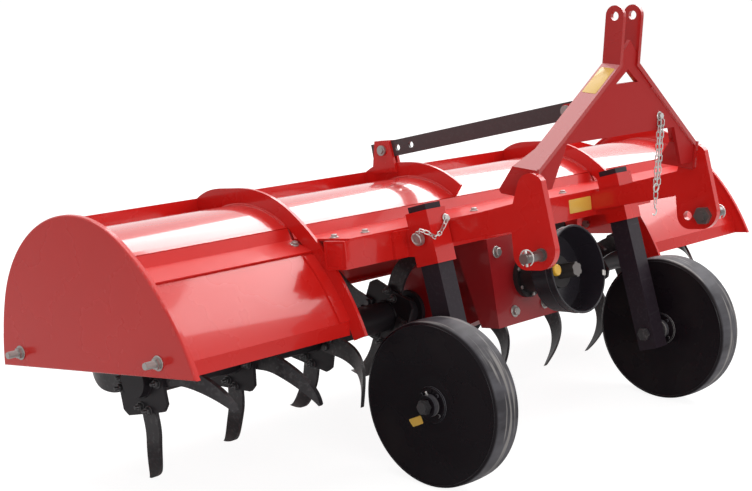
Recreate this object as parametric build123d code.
from build123d import *
import math
import os

# Mounted rotary tiller (rotavator), carried on a tractor's three-point linkage.
# Everything is drawn in the machine's own frame and then stood up as it parks.
# X runs across the machine, -Y is the tractor side, +Y the rear, Z is up.
# Machine frame: the hood's end plates have a level bottom edge, z = 0 is the bottom of the gauge wheels.
# Units are millimetres.

# ---------------------------------------------------------------- hood
width = 2100.0            # over the two end plates
plate_t = 6.0             # end plate sheet
rim_turn = 12.0           # its curved edge is turned in this far
rim_sheet = 4.0
rim_round = 4.0           # rounding of the outer corner
hood_base_z = 343.0       # bottom edge of the end plates
hood_rear_y = 150.6       # rear bottom corner of the end plates
hood_start_deg = 93.3         # heading of the outline at the rear bottom corner
hood_arcs = [             # radius, turn in degrees, from the rear bottom corner over the top
    (531.0, 16.2),
    (260.4, 108.4),
]
hood_front_r = 560.0      # last arc, down to the front bottom corner
rim = 36.0                # end plates and ribs stand this far above the skin
skin_t = 4.0
rib_t = 8.0
rib_x = 574.0             # outer pair of ribs
skin_rear_deg = 140.5         # headings on the outline where the skin ends
skin_front_deg = 219.0
rail_y = 15.0             # upright rail along the skin's rear edge: its front face
rail_t = 6.0
rail_top = 643.0
rail_end_low = 34.0       # its ends are cut down by this much
rail_end_x = 140.0        # over this length
crown_rise = 13.5         # the ribs' rear shoulder, up from the rail's top and forward from its face
crown_run = 29.0
crown_top_rise = 21.0
crown_top_run = 75.0
fold_t = 4.0              # folded strip between the skin and the front panels, and the deck on the beam
fold_set = 11.0           # it drops to the beam's top, this far forward
panel_top_deg = 228.0         # heading where the front panels start
panel_inset = 30.0
panel_t = 4.0
panel_lip = 30.0          # upright strip along the bottom of the front panels
panel_foot = 20.0         # lip turned in under it
panel_strap_w = 30.0      # strap along the panel's edge beside the outer rib
panel_strap_t = 4.0
panel_strap_deg = 1.2    # it starts this many degrees below the ledge
stud_r = 7.0              # long studs in the lower corners of the end plates
stud_out = 34.0
stud_inset = 67.0         # from the rear corner
stud_inset_front = 105.0
stud_up = 30.0
stud_nut_r = 12.0
stud_nut_t = 9.0

# ---------------------------------------------------------------- beam, sockets and depth legs
beam_size = 60.0
beam_wall = 5.0
beam_y = -416.0           # centre
beam_z = 514.0
beam_over = 10.0          # the beam runs on past the outer ribs
leg_x = 367.0
leg_size = 50.0
leg_wall = 4.0
leg_rake = 10.0           # foot forward, degrees
leg_top = 420.0           # above the wheel axle, along the leg
leg_foot = 40.0           # below the wheel axle
socket_wall = 5.0
socket_gap = 1.0
socket_len = 118.0
socket_mid = 348.0        # centre of the socket above the axle, along the leg
socket_plate_t = 8.0
socket_plate_w = 42.0     # plate showing outboard of the socket
leg_pin_r = 8.0
leg_pin_head_r = 14.0
leg_pin_head_t = 8.0
leg_pin_out = 14.0
leg_hole_pitch = 45.0

# ---------------------------------------------------------------- gauge wheels
wheel_x = 453.0
wheel_y = -556.0
wheel_r = 181.0
wheel_w = 76.0
wheel_dish = 7.0          # the discs sink in this far towards the hub
wheel_flat_r = 60.0       # flat middle of the discs
wheel_shoulder = 7.0      # rounding between disc and tread
wheel_crown = 1.5         # the middle of the tread stands this much above its edges
hub_r = 24.0
hub_len = 102.0
axle_r = 12.0
axle_gap = 0.3
axle_nut_r = 17.0
axle_nut_t = 14.0
axle_nut_set = 1.0        # play between hub and nut, and hub and spacer
axle_in = 4.0             # the axle stands out of its nut this far
axle_head_t = 8.0

# ---------------------------------------------------------------- rotor
rotor_y = -150.0
rotor_z = 303.0
tip_r = 236.0
tube_r = 36.0
flange_r = 92.0           # over the flanges' cut corners
flange_half = 72.0        # half across their flats, one flat to each tine
flange_t = 8.0
rotor_end_x = 948.0
rotor_gap = 12.0          # between the rotor and the drive case
rotor_collar = 14.0       # collar beside the drive case: stands above the tube
rotor_collar_t = 12.0
tines_per_flange = 4
flanges = [               # x, place in the helix, way its tines bend (1 to +X, -1 to -X, 0 by turns)
    (-925.0, 6, 1),
    (-670.0, 7, 1),
    (-415.0, 0, 0),
    (-160.0, 1, 0),
    (160.0, 2, 0),
    (415.0, 3, 0),
    (670.0, 4, -1),
    (925.0, 5, -1),
]
tine_t = 8.0
tine_w = 44.0
tine_root_r = 42.0
tine_neck_r = 86.0        # straight up to here
tine_mid = 160.0          # height where the two edges are placed by the next two
tine_mid_lead = 3.0       # leading edge there, ahead of the root's middle
tine_mid_trail = 38.0     # trailing edge there, behind it
tine_trail = 22.5         # the tip trails the root by this many degrees
tine_point = 4.0          # width at the tip
tine_bend_z = 130.0       # height where the sideways bend starts
tine_bend_r = 110.0
tine_bend_deg = 45.0
tine_foot = 24.0          # straight part after the bend
shaft_r = 26.0            # through the drive case
shaft_gap = 0.3

# ---------------------------------------------------------------- drive case and input
case_w = 116.0            # gear case between the rotor halves
case_y_front = -452.0
case_foot_r = 96.0        # rounded foot round the rotor shaft
case_nose = 40.0          # its front turns back this far above the front plate's foot
case_back = 80.0          # its top runs this far behind the beam's middle
face_w = 250.0            # front plate
face_t = 10.0
face_low_z = 276.0
cheek_t = 8.0             # side plates between the front plate and the beam
cheek_top = 92.0          # depth at the beam
cheek_low = 42.0          # depth at the foot
input_z = 377.0           # input shaft height at the front plate
face_rake = 4.0           # the front plate's foot forward, degrees
input_tilt = 7.5          # the shaft's nose up, degrees
input_flange_r = 48.0
input_flange_t = 12.0
neck_r = 38.0
neck_set = 5.0            # the neck starts this far up inside the flange
neck_len = 99.0
guard_r = 103.0
guard_back_r = 92.0
guard_len = 66.0
guard_wall = 4.0
guard_set = 14.0          # its bottom sits this far down the neck
input_shaft_r = 17.4
input_shaft_len = 150.0
input_set = 2.0           # the shaft starts this far in front of the plate
spline_len = 76.0
spline_count = 6
spline_w = 8.5
spline_d = 2.4
input_gap = 0.3

# ---------------------------------------------------------------- three-point hitch
hitch_x = 326.0           # middle of the hitch plates
hitch_t = 16.0
link_y = -765.0
link_z = 480.0
link_pin_r = 11.0
link_pin_len = 64.0
link_step = 45.0          # spare hole behind the pin
link_collar = 3.0         # collar against the plate: stands above the pin
link_collar_t = 5.0
link_nut_r = 22.0
link_nut_t = 14.0
link_end = 20.0           # the pin stands this far inside the plate
hitch_foot_high = 27.0    # the plate's foot on the beam, above and below the beam's middle
hitch_foot_low = 18.0
hitch_head = [            # top of the plate: y and z from the link pin
    (65.0, 108.0),
    (49.0, 146.0),
    (22.0, 170.0),
    (-14.0, 154.0),
]
hitch_nose = [            # its round nose round the link pin
    (-34.0, 20.0),
    (-23.0, -19.0),
    (9.0, -33.0),
]
hitch_heel = [            # its round heel below the spare hole
    (41.0, -33.0),
    (65.0, -23.0),
    (74.0, 4.0),
]
hitch_notch = (74.0, 48.0)    # inner corner in front of the beam
mast_gap = 60.0           # between the clevis plates
mast_t = 10.0
mast_w = 46.0
mast_lean = 10.5
mast_fold_y = -776.0
mast_fold_z = 858.0
mast_rise = 104.0         # top-link hole above the fold
top_hole_r = 9.75
mast_drop = 204.0         # from the fold down to the hitch plates
mast_tab = 62.0
mast_foot_rise = 36.0     # its foot widens to the rear, from this far above the fold
mast_foot_run = 52.0
mast_foot_cut = (6.0, 8.0)    # corner cut off its end: back and up
web_t = 8.0
web_peak = 52.0           # above the fold
web_inset = 4.0           # behind the front edges of the legs
window_top = 12.0         # below the fold
web_top = 42.0
window_half = 44.0
web_low = 158.0
web_foot = 250.0
web_leg_w = 50.0

# ---------------------------------------------------------------- stay bar
stay_rear_y = -56.0
stay_rear_z = 696.0
stay_front_y = -628.0
stay_front_z = 762.0
stay_w = 40.0
stay_t = 8.0
stay_pin_r = 8.0
stay_over = 42.0          # the bar runs on past its rear pin
stay_end = 30.0           # and past its front pin
stay_holes = (0.0, 45.0, 90.0)    # rear pin's hole and the spare ones in front of it
stay_pin_end = 10.0
stay_head = 5.0
stay_head_t = 6.0
lug_t = 8.0
lug_gap = 0.3
web_ear_r = 16.0          # round end of the ears on the mast web
web_ear_rise = 20.0       # their foot on the web, above and below the pin
web_ear_drop = 24.0
rib_ear_foot = 40.0       # ears on the centre rib, half their length at the foot
rib_ear_head = 24.0
rib_ear_low = 640.0

# ---------------------------------------------------------------- rear board
hinge_deg = 134.5
hinge_rod_r = 6.0
hinge_gap = 0.3
hinge_tube_r = 12.0
board_t = 4.0
board_low_deg = 95.0          # heading where the board ends
board_foot = 24.0         # flange turned in along its bottom edge
board_side_gap = stud_nut_t + 6


# ================================================================ outline of the hood
def hood_sections():
    """Arcs of the end plate's outline: centre, radius, first and last heading."""
    y, z = hood_rear_y, hood_base_z
    heading = hood_start_deg
    sections = []
    for radius, turn in hood_arcs:
        a = math.radians(heading)
        centre = (y - radius * math.sin(a), z + radius * math.cos(a))
        sections.append((centre, radius, heading, heading + turn))
        heading += turn
        b = math.radians(heading)
        y = centre[0] + radius * math.sin(b)
        z = centre[1] - radius * math.cos(b)
    a = math.radians(heading)
    centre = (y - hood_front_r * math.sin(a), z + hood_front_r * math.cos(a))
    last = 180 + math.degrees(math.acos((hood_base_z - centre[1]) / hood_front_r))
    sections.append((centre, hood_front_r, heading, last))
    return sections


HOOD = hood_sections()
FRONT_HEADING = HOOD[-1][3]


def hood_point(heading, inset=0.0):
    """Point of the outline at a heading, moved inwards by inset."""
    for centre, radius, first, last in HOOD:
        if heading <= last + 1e-6:
            break
    a = math.radians(heading)
    reach = radius - inset
    return (centre[0] + reach * math.sin(a), centre[1] - reach * math.cos(a))


def hood_edges(first, last, inset):
    """Arcs along the outline between two headings."""
    edges = []
    for centre, radius, begin, end in HOOD:
        low = max(first, begin)
        high = min(last, end)
        if high - low > 1e-6:
            points = [hood_point(low + (high - low) * f, inset) for f in (0, 0.5, 1)]
            edges.append(ThreePointArc(*points))
    return edges


def hood_band(first, last, outer, inner):
    """Face between two insets of the outline, in the YZ plane."""
    a0, a1 = hood_point(first, outer), hood_point(first, inner)
    b0, b1 = hood_point(last, outer), hood_point(last, inner)
    edges = hood_edges(first, last, outer) + hood_edges(first, last, inner)
    edges += [Line(a0, a1), Line(b0, b1)]
    return make_face(edges)


def across(face, x0, x1):
    """A face drawn in (y, z), made solid from x0 to x1."""
    return extrude(Plane.YZ.offset(x0) * face, x1 - x0, dir=(1, 0, 0))


def polygon(points):
    return make_face(Polyline(*points, close=True))


def folded(points, thick):
    """Sheet bent along these points; its thickness lies to the left, or to the right if negative."""
    ways = []
    for (y0, z0), (y1, z1) in zip(points, points[1:]):
        length = math.hypot(y1 - y0, z1 - z0)
        ways.append(((y1 - y0) / length, (z1 - z0) / length))
    other = []
    for (y, z), back, on in zip(points, ways[:1] + ways, ways + ways[-1:]):
        share = thick / (1 + back[0] * on[0] + back[1] * on[1])
        other.append((y - share * (back[1] + on[1]), z + share * (back[0] + on[0])))
    return polygon(points + other[::-1])


def rod(radius, x0, x1, y, z):
    """Round bar along X."""
    return across(Pos(y, z) * Circle(radius), x0, x1)


def box(x0, x1, y0, y1, z0, z1):
    size = (x1 - x0, y1 - y0, z1 - z0)
    return Pos((x0 + x1) / 2, (y0 + y1) / 2, (z0 + z1) / 2) * Box(*size)


def both(make):
    """The right (-X) piece and its mirror image on the left."""
    right = make()
    return right, mirror(right, Plane.YZ)


NODES = {}
half = width / 2
inner_x = half - plate_t


# ================================================================ hood pieces
def end_plate():
    outline = hood_edges(hood_start_deg, FRONT_HEADING, 0)
    outline.append(Line(hood_point(FRONT_HEADING), hood_point(hood_start_deg)))
    face = make_face(outline)
    edge = hood_band(hood_start_deg, FRONT_HEADING, 0, rim_sheet) & face
    plate = across(face, -half, -inner_x) + across(edge, -half, rim_turn - half)
    plate = fillet(plate.faces().sort_by(Axis.X)[0].outer_wire().edges(), rim_round)
    for y in stud_places():
        plate -= rod(stud_r, -half, -inner_x, y, hood_base_z + stud_up)
    return plate


def stud_places():
    return (hood_rear_y - stud_inset, hood_point(FRONT_HEADING)[0] + stud_inset_front)


def side_studs():
    """Long bolts through the lower corners, each with its nut outside and its head inside."""
    pieces = []
    z = hood_base_z + stud_up
    for side in (-1, 1):
        for y in stud_places():
            stud = rod(stud_r, -half - stud_out, -inner_x, y, z)
            for x0, x1 in ((-half - stud_nut_t, -half), (-inner_x, -inner_x + stud_nut_t)):
                stud += across(Pos(y, z) * RegularPolygon(stud_nut_r, 6), x0, x1)
            pieces.append(stud if side < 0 else mirror(stud, Plane.YZ))
    return Compound(children=pieces)


def beam_section():
    return Pos(beam_y, beam_z) * Rectangle(beam_size, beam_size)


def rib(x, last):
    """Arch standing on the skin, with a shoulder up to the rear rail and a notch round the beam."""
    band = hood_band(skin_rear_deg, last, 0, rim)
    top = hood_point(180)
    shoulder = [
        ThreePointArc((rail_y, rail_top), (rail_y - crown_run, rail_top + crown_rise),
                      (rail_y - crown_top_run, rail_top + crown_top_rise)),
        Line((rail_y - crown_top_run, rail_top + crown_top_rise), top),
        Line(top, (rail_y, rail_top - rim)),
        Line((rail_y, rail_top - rim), (rail_y, rail_top)),
    ]
    behind = Pos(rail_y + half / 2, beam_z) * Rectangle(half, half)
    face = band + make_face(shoulder) - behind - beam_section()
    return across(face, x - rib_t / 2, x + rib_t / 2)


def skin():
    return across(hood_band(skin_rear_deg, skin_front_deg, rim, rim + skin_t), -inner_x, inner_x)


def rear_rail():
    """Upright strip standing on the skin behind the ribs, its ends cut down behind the end plates."""
    centre, radius = HOOD[1][0], HOOD[1][1] - rim
    face = box(-inner_x, inner_x, rail_y, rail_y + rail_t, rail_top - 2 * rim, rail_top)
    face -= rod(radius, -inner_x, inner_x, *centre)
    for side in (-1, 1):
        corner = make_face(Polyline((side * inner_x, rail_top + 1), (side * inner_x, rail_top - rail_end_low),
                                    (side * (inner_x - rail_end_x), rail_top + 1), close=True))
        face -= extrude(Plane.XZ * corner, half, both=True)
    return face


rail_foot = hood_point(skin_front_deg, rim + skin_t)
rail_bend = (rail_foot[0] - fold_set, beam_z + beam_size / 2)


def front_rail():
    """Folded strips in front of the skin: a drop and a ledge, and over the beam a drop and a deck."""
    panel_y, panel_z = hood_point(panel_top_deg, panel_inset)
    way = math.atan2(rail_bend[1] - panel_z, rail_bend[0] - panel_y)
    edge = (panel_y - fold_t * math.cos(way), panel_z - fold_t * math.sin(way))
    ledge = folded([rail_foot, rail_bend, edge], -fold_t)
    deck = folded([rail_foot, rail_bend, (beam_y - beam_size / 2, rail_bend[1])], -fold_t)
    clear = rib_x + rib_t / 2
    ledges = [across(ledge, -inner_x, -clear), across(ledge, clear, inner_x)]
    return Compound(children=ledges + [across(deck, rib_t - clear, clear - rib_t)])


def front_panel():
    """Sloping sheet in the front of the outer bay, with its bottom lip and the strap beside the rib."""
    x0, x1 = -inner_x, -rib_x - rib_t / 2
    lip_z = hood_base_z + panel_lip
    reach = hood_front_r - panel_inset
    lip_heading = 180 + math.degrees(math.acos((lip_z - HOOD[-1][0][1]) / reach))
    sheet = across(hood_band(panel_top_deg, lip_heading, panel_inset, panel_inset + panel_t), x0, x1)
    y = hood_point(lip_heading, panel_inset)[0]
    lip = folded([(y, lip_z), (y, hood_base_z), (y + panel_foot, hood_base_z)], panel_t)
    strap = hood_band(panel_top_deg + panel_strap_deg, lip_heading, panel_inset - panel_strap_t, panel_inset)
    return sheet + across(lip, x0, x1) + across(strap, x1 - panel_strap_w, x1)


def main_beam():
    inner = Pos(beam_y, beam_z) * Rectangle(beam_size - 2 * beam_wall, beam_size - 2 * beam_wall)
    reach = rib_x + rib_t / 2 + beam_over
    return across(beam_section() - inner, -reach, reach)


NODES["end_plate_right"], NODES["end_plate_left"] = both(end_plate)
NODES["side_studs"] = side_studs()
NODES["hood_skin"] = skin()
NODES["rib_centre"] = rib(0.0, skin_front_deg)
NODES["rib_right"], NODES["rib_left"] = both(lambda: rib(-rib_x, FRONT_HEADING))
NODES["rear_rail"] = rear_rail()
NODES["front_rail"] = front_rail()
NODES["front_panel_right"], NODES["front_panel_left"] = both(front_panel)
NODES["main_beam"] = main_beam()


# ================================================================ sockets, legs and gauge wheels
def leg_frame():
    """Frame of the right leg: origin on the wheel axle, z up along the leg."""
    return Plane((-leg_x, wheel_y, wheel_r), x_dir=(1, 0, 0),
                 z_dir=(0, math.sin(math.radians(leg_rake)), math.cos(math.radians(leg_rake))))


def local_box(size_x, size_y, z0, z1, x=0.0, y=0.0):
    return Pos(x, y, (z0 + z1) / 2) * Box(size_x, size_y, z1 - z0)


LEG = leg_frame()
socket_size = leg_size + 2 * socket_gap + 2 * socket_wall
socket_low = socket_mid - socket_len / 2
socket_high = socket_mid + socket_len / 2


def socket_back(z):
    """Rear face of the raked socket at a height."""
    rake = math.radians(leg_rake)
    return wheel_y + (z - wheel_r) * math.tan(rake) + socket_size / 2 / math.cos(rake)


def leg_socket():
    """Square tube for the leg, on a plate and two cheeks against the front of the beam."""
    hole = leg_size + 2 * socket_gap
    tube = local_box(socket_size, socket_size, socket_low, socket_high)
    tube = LEG.location * tube
    face = beam_y - beam_size / 2
    low, high = beam_z - beam_size / 2, beam_z + beam_size / 2
    outer, inner = -leg_x - socket_size / 2, -leg_x + socket_size / 2
    tube += box(outer - socket_plate_w, inner, face - socket_plate_t, face, low, high)
    cheek = polygon([(face, low), (face, high), (socket_back(high), high), (socket_back(low), low)])
    tube += across(cheek, outer, outer + socket_wall)
    tube += across(cheek, inner - socket_wall, inner)
    tube -= LEG.location * local_box(hole, hole, socket_low, socket_high)
    return tube - LEG.location * (Pos(0, 0, socket_mid) * Rot(0, 90, 0) * Cylinder(leg_pin_r, socket_size))


def wheel_leg():
    tube = local_box(leg_size, leg_size, -leg_foot, leg_top)
    bore = leg_size - 2 * leg_wall
    tube -= local_box(bore, bore, -leg_foot, leg_top)
    for n in (-1, 0, 1):
        tube -= Pos(0, 0, socket_mid + n * leg_hole_pitch) * Rot(0, 90, 0) * Cylinder(leg_pin_r, leg_size)
    tube -= Rot(0, 90, 0) * Cylinder(axle_r, leg_size)
    return LEG.location * tube


def leg_pin():
    outer = socket_size / 2 + leg_pin_out
    length = outer + socket_size / 2
    pin = Pos(-leg_pin_out / 2, 0, 0) * Rot(0, 90, 0) * Cylinder(leg_pin_r, length)
    pin += Pos(leg_pin_head_t / 2 - outer, 0, 0) * Rot(0, 90, 0) * Cylinder(leg_pin_head_r, leg_pin_head_t)
    return LEG.location * (Pos(0, 0, socket_mid) * pin)


def wheel_axle():
    """Axle bolt from the leg out through the wheel's hub, with a nut, a head and a spacer tube."""
    x_in = -leg_x + leg_size / 2
    x_out = -wheel_x - hub_len / 2 - axle_nut_set
    nut = Pos(wheel_y, wheel_r) * RegularPolygon(axle_nut_r, 6)
    pin = rod(axle_r, x_out - axle_nut_t, x_in, wheel_y, wheel_r)
    pin += across(nut, x_out - axle_nut_t + axle_in, x_out)
    pin += across(nut, x_in, x_in + axle_head_t)
    pin += rod(hub_r, -wheel_x + hub_len / 2 + axle_nut_set, -leg_x - leg_size / 2, wheel_y, wheel_r)
    return pin


def gauge_wheel():
    """Closed steel wheel: slightly dished discs, rounded shoulders, a nearly flat tread and a hub tube."""
    w = wheel_w / 2
    edge = wheel_r - wheel_crown
    bend = wheel_shoulder
    diag = bend * (1 - math.sqrt(0.5))
    profile = [
        Line((w - wheel_dish, hub_r), (w - wheel_dish, wheel_flat_r)),
        Line((w - wheel_dish, wheel_flat_r), (w, edge - bend)),
        ThreePointArc((w, edge - bend), (w - diag, edge - diag), (w - bend, edge)),
        ThreePointArc((w - bend, edge), (0, wheel_r), (bend - w, edge)),
        ThreePointArc((bend - w, edge), (diag - w, edge - diag), (-w, edge - bend)),
        Line((-w, edge - bend), (wheel_dish - w, wheel_flat_r)),
        Line((wheel_dish - w, wheel_flat_r), (wheel_dish - w, hub_r)),
        Line((wheel_dish - w, hub_r), (w - wheel_dish, hub_r)),
    ]
    body = revolve(make_face(profile), Axis.X, 360)
    body += Rot(0, 90, 0) * Cylinder(hub_r, hub_len)
    body -= Rot(0, 90, 0) * Cylinder(axle_r + axle_gap, hub_len)
    return Pos(-wheel_x, wheel_y, wheel_r) * body


NODES["leg_socket_right"], NODES["leg_socket_left"] = both(leg_socket)
NODES["wheel_leg_right"], NODES["wheel_leg_left"] = both(wheel_leg)
NODES["leg_pin_right"], NODES["leg_pin_left"] = both(leg_pin)
NODES["wheel_axle_right"], NODES["wheel_axle_left"] = both(wheel_axle)
NODES["gauge_wheel_right"], NODES["gauge_wheel_left"] = both(gauge_wheel)


# ================================================================ rotor
def tine():
    """Curved hoe blade: a flat bar cut to a sickle with a sharp tip, then bent sideways towards +X.

    Drawn with the shaft along X at the origin and the blade pointing up the Z axis;
    its rounded edge faces +Y and its tip curves back towards -Y.
    """
    turn = math.radians(tine_bend_deg)
    middle = turn / 2
    out, inn = tine_bend_r, tine_bend_r - tine_t

    def on_bend(radius, angle):
        return (out - radius * math.cos(angle), tine_bend_z + radius * math.sin(angle))

    step = (math.sin(turn) * tine_foot, math.cos(turn) * tine_foot)
    outer_end, inner_end = on_bend(out, turn), on_bend(inn, turn)
    outer_tip = (outer_end[0] + step[0], outer_end[1] + step[1])
    inner_tip = (inner_end[0] + step[0], inner_end[1] + step[1])
    strip = make_face([
        Line((0, tine_root_r), (0, tine_bend_z)),
        ThreePointArc((0, tine_bend_z), on_bend(out, middle), outer_end),
        Line(outer_end, outer_tip),
        Line(outer_tip, inner_tip),
        Line(inner_tip, inner_end),
        ThreePointArc(inner_end, on_bend(inn, middle), (tine_t, tine_bend_z)),
        Line((tine_t, tine_bend_z), (tine_t, tine_root_r)),
        Line((tine_t, tine_root_r), (0, tine_root_r)),
    ])
    bent = extrude(Plane.XZ * strip, tip_r, both=True)
    w = tine_w / 2
    back = math.radians(tine_trail)
    tip = (-tip_r * math.sin(back), tip_r * math.cos(back))
    heel = (tip[0] - tine_point * math.cos(back), tip[1] - tine_point * math.sin(back))
    sickle = make_face([
        Line((-w, tine_root_r), (w, tine_root_r)),
        Line((w, tine_root_r), (w, tine_neck_r)),
        ThreePointArc((w, tine_neck_r), (tine_mid_lead, tine_mid), tip),
        Line(tip, heel),
        ThreePointArc(heel, (-tine_mid_trail, tine_mid), (-w, tine_neck_r)),
        Line((-w, tine_neck_r), (-w, tine_root_r)),
    ])
    return bent & across(sickle, -tine_t, tip_r)


tine_step = 360.0 / tines_per_flange
helix_step = tine_step / len(flanges)


def flange_turn(place):
    """Angle of a flange and its tines about the rotor shaft."""
    return 180 + rest_lean + (place + 0.5) * helix_step


def tine_sets():
    right_hand = tine()
    left_hand = mirror(right_hand, Plane.YZ)
    sets = {"tines_right": [], "tines_left": []}
    for x, place, way in flanges:
        side = "tines_right" if x < 0 else "tines_left"
        for n in range(tines_per_flange):
            hand = way or (-1 if n % 2 else 1)
            blade = right_hand if hand > 0 else left_hand
            turned = Rot(flange_turn(place) + n * tine_step, 0, 0) * (Pos(hand * flange_t / 2, 0, 0) * blade)
            sets[side].append(Pos(x, rotor_y, rotor_z) * turned)
    return sets


def rotor_half(side):
    """Tube with its flanges, from beside the drive case out to the end; side is -1 or 1."""
    inner = case_w / 2 + rotor_gap
    tube = rod(tube_r, inner, rotor_end_x, 0, 0)
    tube += rod(tube_r + rotor_collar, inner, inner + rotor_collar_t, 0, 0)
    tube = tube if side > 0 else mirror(tube, Plane.YZ)
    square = Rectangle(2 * flange_half, 2 * flange_half) & Circle(flange_r)
    plate = across(square, -flange_t / 2, flange_t / 2)
    for x, place, way in flanges:
        if x * side > 0:
            tube += Pos(x, 0, 0) * Rot(flange_turn(place), 0, 0) * plate
    return Pos(0, rotor_y, rotor_z) * tube


rest_r = tip_r * math.cos(math.radians(helix_step / 2))
span_y, span_z = rotor_y - wheel_y, rotor_z - wheel_r
rest_lean = math.degrees(math.atan2(span_z, span_y)
                         - math.asin((rest_r - wheel_r) / math.hypot(span_y, span_z)))

NODES["rotor_right"], NODES["rotor_left"] = rotor_half(-1), rotor_half(1)
for name, blades in tine_sets().items():
    NODES[name] = Compound(children=blades)
NODES["rotor_shaft"] = rod(shaft_r, -case_w / 2 - rotor_gap, case_w / 2 + rotor_gap, rotor_y, rotor_z)


# ================================================================ drive case and input
case_top = beam_z - beam_size / 2
face_up = math.radians(face_rake)
input_up = math.radians(input_tilt)
seat = (0, case_y_front, input_z)
FACE = Plane(seat, x_dir=(1, 0, 0), z_dir=(0, -math.cos(face_up), math.sin(face_up)))
INPUT = Plane(seat, x_dir=(1, 0, 0), z_dir=(0, -math.cos(input_up), math.sin(input_up)))


def on_input(shape, along):
    """Put a shape drawn about the z axis on the input shaft's line, along mm in front of the plate."""
    return INPUT.location * (Pos(0, 0, along) * shape)


def disc(radius, length):
    return Pos(0, 0, length / 2) * Cylinder(radius, length)


def face_y(z):
    """Back of the raked front plate at a height."""
    return case_y_front + (z - input_z) * math.tan(face_up)


def drive_case():
    """Closed gear case hanging under the beam between the rotor halves."""
    low = rotor_z - case_foot_r
    nose = face_low_z + case_nose
    back = beam_y + case_back
    outline = make_face([
        Line((face_y(case_top), case_top), (face_y(nose), nose)),
        Line((face_y(nose), nose), (rotor_y, low)),
        ThreePointArc((rotor_y, low), (rotor_y + case_foot_r, rotor_z), (rotor_y, rotor_z + case_foot_r)),
        Line((rotor_y, rotor_z + case_foot_r), (back, case_top)),
        Line((back, case_top), (face_y(case_top), case_top)),
    ])
    case = across(outline, -case_w / 2, case_w / 2)
    return case - rod(shaft_r + shaft_gap, -case_w, case_w, rotor_y, rotor_z)


def front_face():
    """Raked front plate of the gear case with its two side plates, hung from the beam."""
    back_top, back_low = face_y(case_top), face_y(face_low_z)
    thick = face_t / math.cos(face_up)
    sheet = polygon([(back_top - thick, case_top), (back_top, case_top),
                     (back_low, face_low_z), (back_low - thick, face_low_z)])
    plate = across(sheet, -face_w / 2, face_w / 2)
    side = polygon([(back_top, case_top), (back_top + cheek_top, case_top),
                    (back_low + cheek_low, face_low_z), (back_low, face_low_z)])
    plate += across(side, -face_w / 2, -face_w / 2 + cheek_t)
    plate += across(side, face_w / 2 - cheek_t, face_w / 2)
    return plate


def input_housing():
    """Flange flat on the front plate, and the neck on the shaft's line."""
    flange = FACE.location * (Pos(0, 0, face_t) * disc(input_flange_r, input_flange_t))
    neck = on_input(disc(neck_r, neck_len), face_t + neck_set)
    return flange + neck - on_input(disc(input_shaft_r + input_gap, 2 * neck_len), 0)


def pto_guard():
    """Plastic cup round the input shaft, open to the tractor."""
    cup = Solid.make_cone(guard_back_r, guard_r, guard_len)
    hollow = Solid.make_cone(guard_back_r - guard_wall, guard_r - guard_wall, guard_len)
    cup = cup - Pos(0, 0, guard_wall) * hollow - disc(neck_r, guard_wall + 1)
    return on_input(cup, face_t + neck_set + neck_len - guard_set)


def input_shaft():
    """Six-spline shaft."""
    shaft = disc(input_shaft_r, input_shaft_len)
    groove = Pos(input_shaft_r, 0, input_shaft_len - spline_len / 2) * Box(2 * spline_d, spline_w, spline_len)
    for n in range(spline_count):
        shaft -= Rot(0, 0, n * 360 / spline_count) * groove
    return on_input(shaft, face_t + input_set)


NODES["drive_case"] = drive_case()
NODES["front_face"] = front_face()
NODES["input_housing"] = input_housing()
NODES["pto_guard"] = pto_guard()
NODES["input_shaft"] = input_shaft()


# ================================================================ three-point hitch
def hitch_plate():
    """Side plate of the hitch, with the link pin's hole and the spare hole."""

    def placed(rows):
        return [(link_y + y, link_z + z) for y, z in rows]

    head, nose, heel = placed(hitch_head), placed(hitch_nose), placed(hitch_heel)
    notch = placed([hitch_notch])[0]
    beam_front = beam_y - beam_size / 2
    high = (beam_front, beam_z + hitch_foot_high)
    low = (beam_front, beam_z - hitch_foot_low)
    outline = make_face([
        Line(high, head[0]),
        Line(head[0], head[1]),
        ThreePointArc(*head[1:]),
        Line(head[3], nose[0]),
        ThreePointArc(*nose),
        Line(nose[2], heel[0]),
        ThreePointArc(*heel),
        Line(heel[2], notch),
        Line(notch, low),
        Line(low, high),
    ])
    plate = across(outline, -hitch_x - hitch_t / 2, -hitch_x + hitch_t / 2)
    for y in (link_y, link_y + link_step):
        plate -= rod(link_pin_r, -hitch_x - hitch_t, -hitch_x + hitch_t, y, link_z)
    return plate


def link_pin():
    """Lower-link pin: stub and collar outside, nut inside the plate."""
    outer = -hitch_x - hitch_t / 2
    inner = -hitch_x + hitch_t / 2
    pin = rod(link_pin_r, outer - link_pin_len, inner + link_end, link_y, link_z)
    pin += rod(link_pin_r + link_collar, outer - link_collar_t, outer, link_y, link_z)
    return pin + across(Pos(link_y, link_z) * RegularPolygon(link_nut_r, 6), inner, inner + link_nut_t)


MAST = Plane((0, mast_fold_y, mast_fold_z), x_dir=(1, 0, 0),
             z_dir=(0, -math.sin(math.radians(mast_lean)), math.cos(math.radians(mast_lean))))
clevis_x = mast_gap / 2 + mast_t
tab_x = hitch_x - hitch_t / 2
mast_slope = math.atan2(mast_drop, tab_x - clevis_x)


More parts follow.
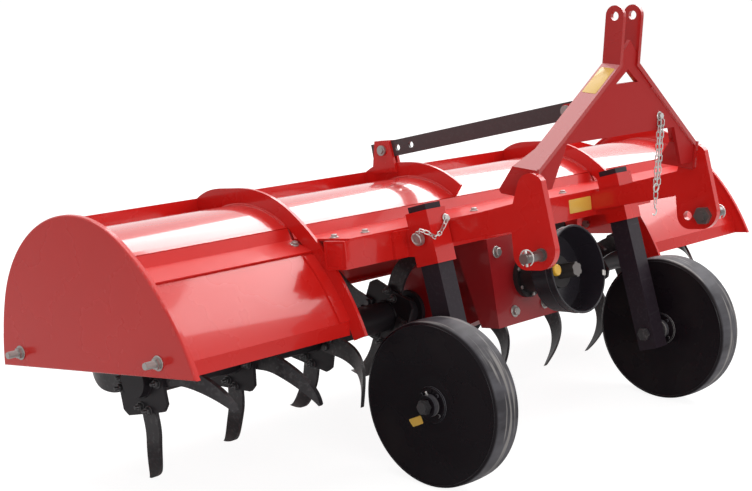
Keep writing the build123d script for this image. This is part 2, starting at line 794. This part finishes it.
def mast_side():
    """One clevis plate folded out into its leg, with a tab against the hitch plate."""
    w = mast_w / 2
    drop = mast_drop + mast_tab
    head = mast_rise + mast_w
    # the folded bar, seen from the front
    outer = [(-clevis_x, head), (-clevis_x, 0), (-tab_x, -mast_drop), (-tab_x, -drop)]
    half_turn = mast_t * math.tan((math.pi / 2 - mast_slope) / 2)
    inner = [(-tab_x + mast_t, -drop), (-tab_x + mast_t, -mast_drop - half_turn),
             (-clevis_x + mast_t, -half_turn), (-clevis_x + mast_t, head)]
    bar = extrude(Plane.XZ * polygon(outer + inner), hitch_x, both=True)
    # its outline, seen from the side
    cut_back, cut_up = mast_foot_cut
    heel = w + mast_foot_run
    side = make_face([
        Line((-w, -drop), (-w, mast_rise)),
        ThreePointArc((-w, mast_rise), (0, mast_rise + w), (w, mast_rise)),
        Line((w, mast_rise), (w, mast_foot_rise - mast_drop)),
        Line((w, mast_foot_rise - mast_drop), (heel, cut_up - drop)),
        Line((heel, cut_up - drop), (heel - cut_back, -drop)),
        Line((heel - cut_back, -drop), (-w, -drop)),
    ])
    plate = bar & across(side, -hitch_x, 0)
    plate -= rod(top_hole_r, -hitch_x, 0, 0, mast_rise)
    return MAST.location * plate


def mast_web():
    """Frontal plate between the legs: a pointed top, a small window and an arch below."""
    fold = mast_t * math.tan((math.pi / 2 - mast_slope) / 2)

    def edge(drop):
        """Inner face of the leg, this far below the fold."""
        return clevis_x - mast_t + (drop - fold) * (tab_x - clevis_x) / mast_drop

    foot_x = tab_x - mast_t
    side = [(mast_gap / 2, web_peak - mast_gap / 2), (mast_gap / 2, -fold),
            (foot_x, -mast_drop - fold), (foot_x, -web_foot), (foot_x - web_leg_w, -web_foot),
            (edge(web_low) - web_leg_w / 2, -web_low)]
    outline = polygon([(0, web_peak)] + side + [(-x, z) for x, z in reversed(side)])
    window = polygon([(0, -window_top), (-window_half, -web_top), (window_half, -web_top)])
    web = extrude(Plane.XZ.offset(mast_w / 2 - web_inset) * (outline - window), -web_t)
    return MAST.location * web


def web_back(z):
    """Rear face of the mast web at a height."""
    lean = math.radians(mast_lean)
    ahead = mast_w / 2 - web_inset - web_t
    return mast_fold_y - (z - mast_fold_z) * math.tan(lean) - ahead / math.cos(lean)


NODES["hitch_plate_right"], NODES["hitch_plate_left"] = both(hitch_plate)
NODES["link_pin_right"], NODES["link_pin_left"] = both(link_pin)
NODES["mast_side_right"], NODES["mast_side_left"] = both(mast_side)
NODES["mast_web"] = mast_web()


# ================================================================ stay bar from the mast to the hood
stay_angle = math.degrees(math.atan2(stay_rear_z - stay_front_z, stay_rear_y - stay_front_y))
stay_span = math.hypot(stay_rear_z - stay_front_z, stay_rear_y - stay_front_y)


def stay_bar():
    length = stay_span + stay_end + stay_over
    bar = Pos((stay_span + stay_over - stay_end) / 2, 0) * Rectangle(length, stay_w)
    for u in [0.0] + [stay_span - step for step in stay_holes]:
        bar -= Pos(u, 0) * Circle(stay_pin_r)
    bar = Pos(stay_front_y, stay_front_z) * Rot(0, 0, stay_angle) * bar
    return across(bar, -stay_t / 2, stay_t / 2)


def stay_pin(y, z):
    reach = stay_t / 2 + lug_gap + lug_t
    pin = rod(stay_pin_r, -reach - stay_pin_end, reach + stay_pin_end, y, z)
    return pin + rod(stay_pin_r + stay_head, -reach - stay_head_t, -reach, y, z)


def rib_ears():
    """Two ears on the centre rib that take the rear end of the stay bar."""
    y, z = stay_rear_y, stay_rear_z
    face = polygon([(y - rib_ear_foot, rib_ear_low), (y + rib_ear_foot, rib_ear_low),
                    (y + rib_ear_head, z + rib_ear_head), (y - rib_ear_head, z + rib_ear_head)])
    face -= Pos(y, z) * Circle(stay_pin_r)
    x0 = stay_t / 2 + lug_gap
    return Compound(children=[across(face, x0, x0 + lug_t), across(face, -x0 - lug_t, -x0)])


def web_ears():
    """Two ears behind the mast web that take the front end of the stay bar."""
    z = stay_front_z
    high, low = z + web_ear_rise, z - web_ear_drop
    face = polygon([(stay_front_y, z - web_ear_r), (stay_front_y, z + web_ear_r), (web_back(high), high),
                    (web_back(low), low)])
    face = face + Pos(stay_front_y, z) * Circle(web_ear_r) - Pos(stay_front_y, z) * Circle(stay_pin_r)
    x0 = stay_t / 2 + lug_gap
    return Compound(children=[across(face, x0, x0 + lug_t), across(face, -x0 - lug_t, -x0)])


NODES["stay_bar"] = stay_bar()
stay_ends = ((stay_rear_y, stay_rear_z), (stay_front_y, stay_front_z))
NODES["stay_pins"] = Compound(children=[stay_pin(y, z) for y, z in stay_ends])
NODES["rib_ears"] = rib_ears()
NODES["web_ears"] = web_ears()


# ================================================================ rear board
hinge_y, hinge_z = hood_point(hinge_deg, rim + board_t / 2)


def rear_board():
    """Curved sheet hung on a rod behind the skin, with a rolled edge and a bottom flange."""
    x = inner_x - board_side_gap
    sheet = across(hood_band(board_low_deg, hinge_deg, rim, rim + board_t), -x, x)
    y, z = hood_point(board_low_deg, rim)
    sheet += across(folded([(y, z), (y - board_foot, z)], -board_t), -x, x)
    sheet += rod(hinge_tube_r, -x, x, hinge_y, hinge_z)
    return sheet - rod(hinge_rod_r + hinge_gap, -x, x, hinge_y, hinge_z)


NODES["rear_board"] = rear_board()
NODES["hinge_rod"] = rod(hinge_rod_r, -inner_x, inner_x, hinge_y, hinge_z)


# ================================================================ stand it up and write the pieces
def stood(shape):
    return Rot(-rest_lean, 0, 0) * shape


boxes = [stood(shape).bounding_box() for shape in NODES.values()]
low = min(b.min.Z for b in boxes)
mid_y = (min(b.min.Y for b in boxes) + max(b.max.Y for b in boxes)) / 2
PLACE = Pos(0, -mid_y, -low) * Rot(-rest_lean, 0, 0)


def main():
    os.makedirs("parts", exist_ok=True)
    for name, shape in NODES.items():
        export_step(PLACE * shape, f"parts/{name}.step")
    print("lean", round(rest_lean, 3), "low", round(low, 3), "mid_y", round(mid_y, 3))


main()
